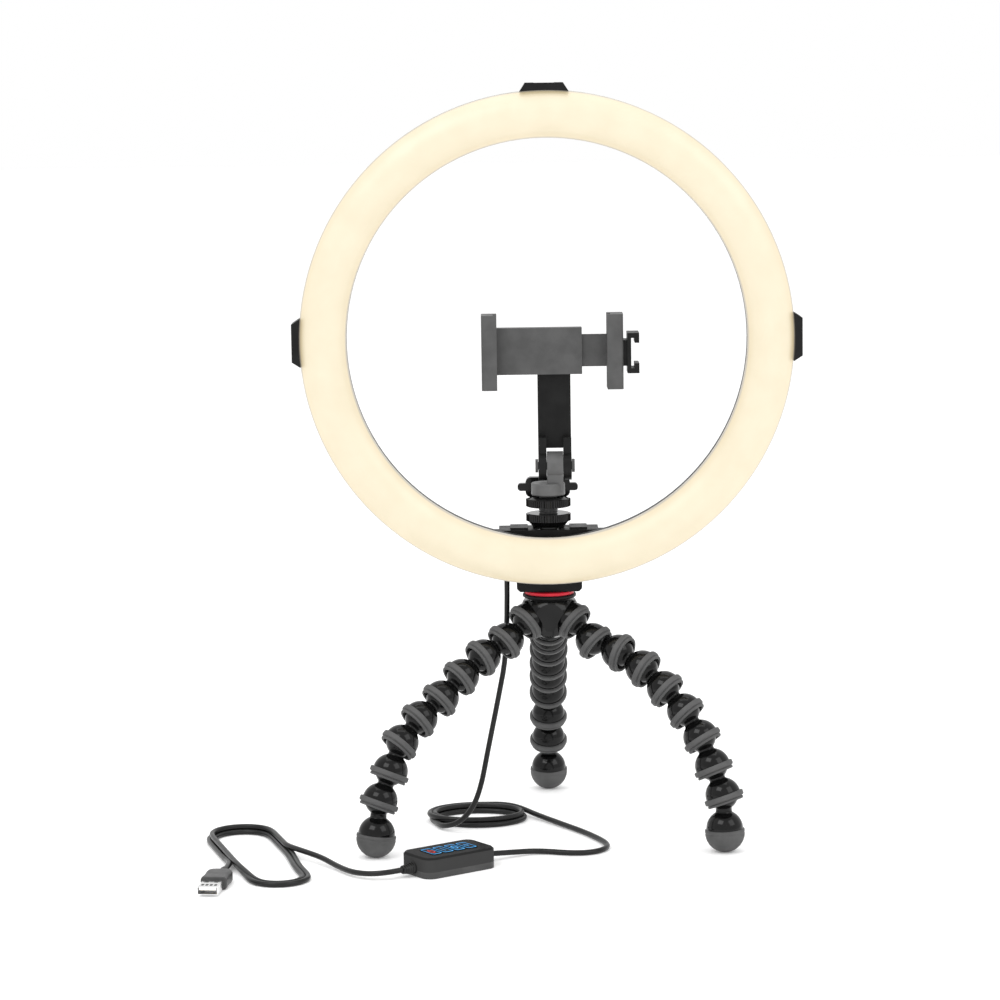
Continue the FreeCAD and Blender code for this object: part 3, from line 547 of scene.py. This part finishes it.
def foot_cap_mesh(paint):
    """Rubber cap: rounded top edge, straight sleeve, a fine groove and a round tread."""
    top = FOOT_PITCH - FOOT_SLEEVE
    groove_r = FOOT_R - 0.00025
    profile = [(0.0, top + FOOT_CORE), (FOOT_CORE_R, top + FOOT_CORE), (FOOT_CORE_R, top + 0.0001)]
    profile += [(FOOT_R - 0.0008, top + 0.0001), (FOOT_R - 0.0002, top + 0.0004), (FOOT_R, top + 0.0010)]
    profile += [(FOOT_R, FOOT_PITCH - 0.0004), (groove_r, FOOT_PITCH - 0.0001)]
    profile += [(groove_r, FOOT_PITCH + 0.0003)]
    profile += arc(FOOT_R, FOOT_PITCH, 4, 90, 18)
    return finish_mesh(lathe(profile), "foot_cap", paint, 40.0)


def flat_tread(data, place):
    """Copy of the cap with its lowest part pressed flat onto the table."""
    flat = data.copy()
    back = place.inverted()
    for vertex in flat.vertices:
        world = place @ vertex.co
        if world.z < 0.0:
            vertex.co = back @ Vector((world.x, world.y, 0.0))
    return flat


def leg_centres(side):
    """Ball centres from the hub down, then the foot's centre."""
    centres = [Vector(JOINTS["%s_ball_%d" % (side, i + 1)]["pos_m"]) for i in range(LINKS_PER_LEG + 1)]
    foot = Vector(MOUNTS["foot_" + side]["pos_m"])
    return centres + [foot + Vector((0, 0, FOOT_R - FOOT_FLAT))]


def build_legs(paints):
    """Moulded links with their rubber rings, and a capped foot, in place of each leg's plain pieces."""
    link, grip = link_mesh(paints["gloss"]), grip_mesh(paints["grip"])
    foot, cap = foot_link_mesh(paints["gloss"]), foot_cap_mesh(paints["grip"])
    for side in LEG_AZIMUTH:
        centres = leg_centres(side)
        for i in range(LINKS_PER_LEG):
            axis = (centres[i + 1] - centres[i]).normalized()
            body = JOINTS["%s_ball_%d" % (side, i + 1)]["child"]
            node = "leg_%s_link_%d" % (side, i + 1)
            piece = add_piece(node + "_moulding", link, body, standing(centres[i], axis))
            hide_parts(node)
            place = standing(centres[i + 1], axis)
            add_piece(node + "_grip", grip, body, place)
        axis = (centres[-1] - centres[-2]).normalized()
        body = JOINTS["%s_ball_%d" % (side, LINKS_PER_LEG + 1)]["child"]
        node = "leg_%s_foot" % side
        place = standing(centres[-2], axis)
        piece = add_piece(node + "_moulding", foot, body, place)
        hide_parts(node)
        add_piece(node + "_cap", flat_tread(cap, place), body, place)


def socket_frames():
    """Centre and axis of each of the hub's sockets, by leg."""
    frames = {}
    for side, azimuth in LEG_AZIMUTH.items():
        angle = math.radians(azimuth)
        outward = Vector((math.cos(angle), math.sin(angle), 0))
        axis = outward * math.cos(ROOT_DROP) - Vector((0, 0, math.sin(ROOT_DROP)))
        frames[side] = Vector(JOINTS[side + "_ball_1"]["pos_m"]), axis
    return frames


def in_collar(point, centre, axis):
    """Whether a point of the hub's mesh belongs to the rubber ring of one socket."""
    along = (point - centre).dot(axis)
    radius = (point - centre - axis * along).length
    slack = 0.0002
    if not FILLET + 0.0001 < along < GRIP_TOP + slack or radius > GRIP_R + slack:
        return False
    return radius > (GRIP_BORE_R - slack if along > MOUTH + slack else SEAT_R + slack / 2)


def build_hub(paints):
    """The hub's moulding comes from the frame; its three socket rings get the legs' rubber ring."""
    hub_body = "stand_and_ring"
    grip = grip_mesh(paints["grip"])
    frames = socket_frames()
    moulding = bmesh.new()
    moulding.from_mesh(NODES["hub_body"].data)
    bmesh.ops.remove_doubles(moulding, verts=moulding.verts, dist=1e-6)
    collar_faces = []
    for face in moulding.faces:
        middle = face.calc_center_median()
        if any(in_collar(middle, centre, axis) for centre, axis in frames.values()):
            collar_faces.append(face)
    bmesh.ops.delete(moulding, geom=collar_faces, context="FACES")
    data = finish_mesh(moulding, "hub_moulding", paints["gloss"], 24.0)
    piece = add_piece("hub_moulding", data, hub_body)
    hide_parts("hub_body")
    for side, (centre, axis) in frames.items():
        add_piece("hub_grip_" + side, grip, hub_body, standing(centre, axis))


# ---------------------------------------------------------------- remote and plug
def remote_place(height):
    """Placement at the middle of the remote, +X along it."""
    low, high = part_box("remote_base")
    middle = (low + high) / 2
    return Matrix.Translation((middle.x, middle.y, height)) @ Matrix.Rotation(REMOTE_YAW, 4, "Z")


def rounded_outline(half_x, half_y, radius, steps=6):
    """Corners of a rectangle with rounded corners, counter-clockwise."""
    points = []
    for quarter in range(4):
        sx = (1, -1, -1, 1)[quarter]
        sy = (1, 1, -1, -1)[quarter]
        for i in range(steps + 1):
            angle = math.radians(90 * (quarter + i / steps))
            x = sx * (half_x - radius) + radius * math.cos(angle)
            y = sy * (half_y - radius) + radius * math.sin(angle)
            points.append((x, y))
    return points


def frame_mesh(outer, inner, z0, z1):
    """Flat raised frame between two outlines with the same number of corners."""
    mesh = bmesh.new()
    rings = []
    for outline, z in ((outer, z0), (outer, z1), (inner, z1), (inner, z0)):
        rings.append([mesh.verts.new((x, y, z)) for x, y in outline])
    count = len(outer)
    for low, high in zip(rings, rings[1:] + rings[:1]):
        for i in range(count):
            j = (i + 1) % count
            mesh.faces.new((low[i], low[j], high[j], high[i]))
    return mesh


def add_bar(mesh, x0, x1, y0, y1, z0, z1):
    """Box between two corners."""
    corners = [(x, y, z) for z in (z0, z1) for x, y in ((x0, y0), (x1, y0), (x1, y1), (x0, y1))]
    v = [mesh.verts.new(c) for c in corners]
    for face in ((3, 2, 1, 0), (4, 5, 6, 7), (0, 1, 5, 4), (1, 2, 6, 5), (2, 3, 7, 6), (3, 0, 4, 7)):
        mesh.faces.new([v[i] for i in face])


def add_arc_band(mesh, radius, width, start, end, z0, z1, steps=20):
    """Part of a flat ring, from one angle to another in degrees."""
    sections = []
    for i in range(steps + 1):
        angle = math.radians(start + (end - start) * i / steps)
        c, s = math.cos(angle), math.sin(angle)
        section = []
        for r, z in ((radius, z0), (radius + width, z0), (radius + width, z1), (radius, z1)):
            section.append(mesh.verts.new((r * c, r * s, z)))
        sections.append(section)
    for low, high in zip(sections, sections[1:]):
        for i in range(4):
            j = (i + 1) % 4
            mesh.faces.new((low[i], low[j], high[j], high[i]))
    mesh.faces.new(sections[0])
    mesh.faces.new(list(reversed(sections[-1])))


def symbol_mesh(kind, z0, z1):
    """Generic printed signs: on/off, minus, a ring with two ticks, plus; drawn out across the key."""
    mesh = bmesh.new()
    line, ring_r, bar_half, cross_half = SIGN_LINE, 0.0012, 0.0015, 0.0017
    if kind == "power":
        add_arc_band(mesh, ring_r, line, 125, 415, z0, z1)
        add_bar(mesh, -line / 2, line / 2, 0.0004, 0.0020, z0, z1)
    elif kind == "mode":
        add_arc_band(mesh, ring_r, line, 20, 160, z0, z1)
        add_arc_band(mesh, ring_r, line, 200, 340, z0, z1)
        for tick in (ring_r + 0.0001, -ring_r - 0.0001):
            add_bar(mesh, tick - line, tick + line, -line, line, z0, z1)
    else:
        add_bar(mesh, -line / 2, line / 2, -bar_half, bar_half, z0, z1)
        if kind == "plus":
            add_bar(mesh, line / 2, cross_half, -line / 4, line / 4, z0, z1)
            add_bar(mesh, -cross_half, -line / 2, -line / 4, line / 4, z0, z1)
    for vertex in mesh.verts:
        vertex.co.y *= SIGN_STRETCH
    return mesh


def build_buttons(paints):
    """Blue outline and a sign on each key, printed proud by a tenth of a millimetre."""
    outer = rounded_outline(KEY_HALF_X, KEY_HALF_Y, 0.0013)
    inner = rounded_outline(KEY_HALF_X - KEY_LINE, KEY_HALF_Y - 2 * KEY_LINE, 0.0011)
    parts = []
    for kind in KEYS:
        key = "button_" + kind
        low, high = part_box(key)
        middle = (low + high) / 2
        place = Matrix.Translation((middle.x, middle.y, high.z)) @ Matrix.Rotation(REMOTE_YAW, 4, "Z")
        outline = finish_mesh(frame_mesh(outer, inner, -INK, INK), "outline", paints["ink_blue"])
        parts.append(add_piece("outline_" + kind, outline, key, place))
        ink = paints["ink_red" if kind == "power" else "ink_blue"]
        sign = finish_mesh(symbol_mesh(kind, -INK, INK), "sign", ink)
        parts.append(add_piece("sign_" + kind, sign, key, place))
    return parts


def relief_mesh(paint, length, root_r, end_r, ribs):
    """Ribbed, tapered strain relief along +Z, bored for the cord."""
    bore_r = CORD_D / 2 + 0.0002
    groove = 0.00045
    plain_share, ribbed_share = 0.12, 0.84
    profile = [(bore_r, 0.0), (root_r, 0.0), (root_r, length * plain_share)]
    for i in range(ribs):
        for share, depth in ((0.15, 0.0), (0.25, groove), (0.55, groove), (0.65, 0.0)):
            along = plain_share + ribbed_share * (i + share) / ribs
            radius = root_r + (end_r - root_r) * along - depth
            profile.append((radius, length * along))
    profile += [(end_r, length * 0.97), (end_r - 0.0002, length), (bore_r, length)]
    return finish_mesh(lathe(profile, 32), "relief", paint, 40.0)


def build_reliefs(paints):
    """Ribbed sleeves over the plain strain reliefs of the remote."""
    base = remote_place(RELIEF_Z)
    parts = []
    for name, side, length, root_r, end_r, ribs in (
        ("relief_left", -1, 0.0085, 0.0037, 0.0025, 5),
        ("relief_right", 1, 0.0045, 0.0031, 0.0024, 3),
    ):
        end = Matrix.Translation((side * REMOTE_HALF_LENGTH, 0, 0))
        local = end @ Matrix.Rotation(side * math.pi / 2, 4, "Y")
        data = relief_mesh(paints["cable"], length, root_r, end_r, ribs)
        parts.append(add_piece(name, data, "stand_and_ring", base @ local))
    return parts


def plug_place():
    """Placement at the plug's neck, +X towards its shell."""
    return Matrix.Translation(at(*PLUG_NECK)) @ Matrix.Rotation(PLUG_HEADING, 4, "Z")


def grip_sections():
    """Half width and half height of the overmould along its length, from shoulder to shell."""
    return [
        (0.0075, 0.0026, 0.0024), (0.0080, 0.0034, 0.0028), (0.0092, 0.0050, 0.0032),
        (0.0112, 0.0068, 0.0036), (0.0138, 0.0077, 0.0039), (0.0170, 0.0079, 0.0040),
        (0.0215, 0.0076, 0.0039), (0.0260, 0.0077, 0.0039), (0.0310, 0.0080, 0.0040),
        (0.0325, 0.0079, 0.0039), (0.0330, 0.0074, 0.0035),
    ]


def grip_mould(paint):
    """Overmould of the plug, lofted through its sections."""
    mesh = bmesh.new()
    rings = []
    for x, half_y, half_z in grip_sections():
        outline = rounded_outline(half_y, half_z, min(0.0022, half_z * 0.95))
        rings.append([mesh.verts.new((x, y, z)) for y, z in outline])
    count = len(rings[0])
    for low, high in zip(rings, rings[1:]):
        for i in range(count):
            j = (i + 1) % count
            mesh.faces.new((low[i], low[j], high[j], high[i]))
    mesh.faces.new(rings[0])
    mesh.faces.new(list(reversed(rings[-1])))
    return finish_mesh(mesh, "plug_mould", paint, 30.0)


def row(count, pitch):
    """Places of count things a pitch apart, about zero."""
    return [(i - (count - 1) / 2) * pitch for i in range(count)]


def build_plug(paints):
    """Overmould with shoulders, ribbed neck, the contacts of the metal shell, and black bars painted on the shell
    as the shade inside its windows.
    """
    place = plug_place()
    body = "stand_and_ring"
    mould = add_piece("plug_mould", grip_mould(paints["remote"]), body, place)
    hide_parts("plug_grip")
    neck = relief_mesh(paints["remote"], NECK_LENGTH, 0.0030, 0.0024, 4)
    facing = Matrix.Translation((NECK_LENGTH, 0, 0)) @ Matrix.Rotation(-math.pi / 2, 4, "Y")
    parts = [mould, add_piece("plug_neck", neck, body, place @ facing)]
    contacts = bmesh.new()
    for y in row(4, CONTACT_PITCH):
        add_bar(contacts, 0.0400, 0.0498, y - CONTACT_HALF, y + CONTACT_HALF, -0.00005, 0.0002)
    data = finish_mesh(contacts, "contacts", paints["gold"])
    parts.append(add_piece("plug_contacts", data, body, place))
    # painted shade: thin bars of black shell plastic laid on the metal shell where its windows open into the dark
    # inside
    windows = bmesh.new()
    for y in row(2, 0.0058):
        add_bar(windows, 0.0375, 0.0395, y - 0.0012, y + 0.0012, *WINDOW_Z)
    for y in row(4, 0.0026):
        add_bar(windows, 0.0440, 0.0470, y - 0.0008, y + 0.0008, *WINDOW_Z)
    data = finish_mesh(windows, "windows", paints["shell"])
    parts.append(add_piece("plug_windows", data, body, place))
    return parts


# ---------------------------------------------------------------- clamp detail
def build_stud_thread(paints):
    """Thread on the stud where it shows between the two nuts."""
    low_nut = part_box("lower_nut")[1].z
    high_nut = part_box("upper_nut")[0].z
    gap = 0.0002
    start, end = low_nut + gap, high_nut - gap
    count = max(int((end - start) / THREAD_PITCH), 1)
    step = (end - start) / count
    profile = [(THREAD_CORE_R, start)]
    for i in range(count):
        z = start + step * i
        profile += [(THREAD_CORE_R, z + step * 0.1), (THREAD_R, z + step * 0.45), (THREAD_R, z + step * 0.6)]
    profile += [(THREAD_CORE_R, end), (THREAD_BORE_R, end), (THREAD_BORE_R, start)]
    data = finish_mesh(lathe(profile), "thread", paints["grey"], 30.0)
    add_piece("stud_thread", data, "stand_and_ring", Matrix.Translation(at(0, 0, 0)))


# ---------------------------------------------------------------- floor and light
def build_floor():
    """Pale table top, wide enough to reach past every view of the object."""
    mesh = bmesh.new()
    half = 12.0
    corners = ((-half, -half), (half, -half), (half, half), (-half, half))
    mesh.faces.new([mesh.verts.new((x, y, 0.0)) for x, y in corners])
    paint = moulded("floor_white", (0.90,) * 3, (0.92,) * 3, 0.6, 300.0, 0.01)
    glow = paint.node_tree.nodes["Principled BSDF"].inputs
    glow["Emission Color"].default_value = (1.0, 1.0, 1.0, 1.0)
    glow["Emission Strength"].default_value = 0.14
    floor = bpy.data.objects.new("floor", finish_mesh(mesh, "floor", paint, 60.0))
    bpy.context.scene.collection.objects.link(floor)


def add_area_light(name, place, target, size, power):
    """Soft rectangular lamp at a place, facing a target."""
    data = bpy.data.lights.new(name, "AREA")
    data.shape = "RECTANGLE"
    data.size, data.size_y = size
    data.energy = power
    light = bpy.data.objects.new(name, data)
    bpy.context.scene.collection.objects.link(light)
    light.location = place
    light.rotation_euler = (Vector(target) - Vector(place)).to_track_quat("-Z", "Y").to_euler()


def build_lights():
    """White surroundings, a key, a fill and a top light."""
    world = bpy.data.worlds.new("studio")
    bpy.context.scene.world = world
    world.use_nodes = True
    background = world.node_tree.nodes["Background"]
    background.inputs["Color"].default_value = (1.0, 1.0, 1.0, 1.0)
    background.inputs["Strength"].default_value = 1.0
    middle = (0.0, 0.0, 0.2)
    add_area_light("key", (-1.2, -1.6, 2.2), middle, (1.6, 1.2), 24.0)
    add_area_light("fill", (1.6, -1.2, 1.6), middle, (1.4, 1.4), 14.0)
    add_area_light("top", (0.0, 0.4, 2.6), middle, (2.0, 1.6), 16.0)
    bpy.context.scene.view_settings.view_transform = "Standard"


# ---------------------------------------------------------------- all together
def main():
    make_camera()
    head_cord, head_length, usb_cord, usb_length = make_cords()
    paints = make_materials()
    for cord in (head_cord, usb_cord):
        cord.data.materials.append(paints["cable"])
    paint_nodes(paints)
    build_legs(paints)
    build_hub(paints)
    build_stud_thread(paints)
    keys = build_buttons(paints)
    reliefs = build_reliefs(paints)
    plug = build_plug(paints)
    build_floor()
    build_lights()


main()
bpy.context.view_layer.update()
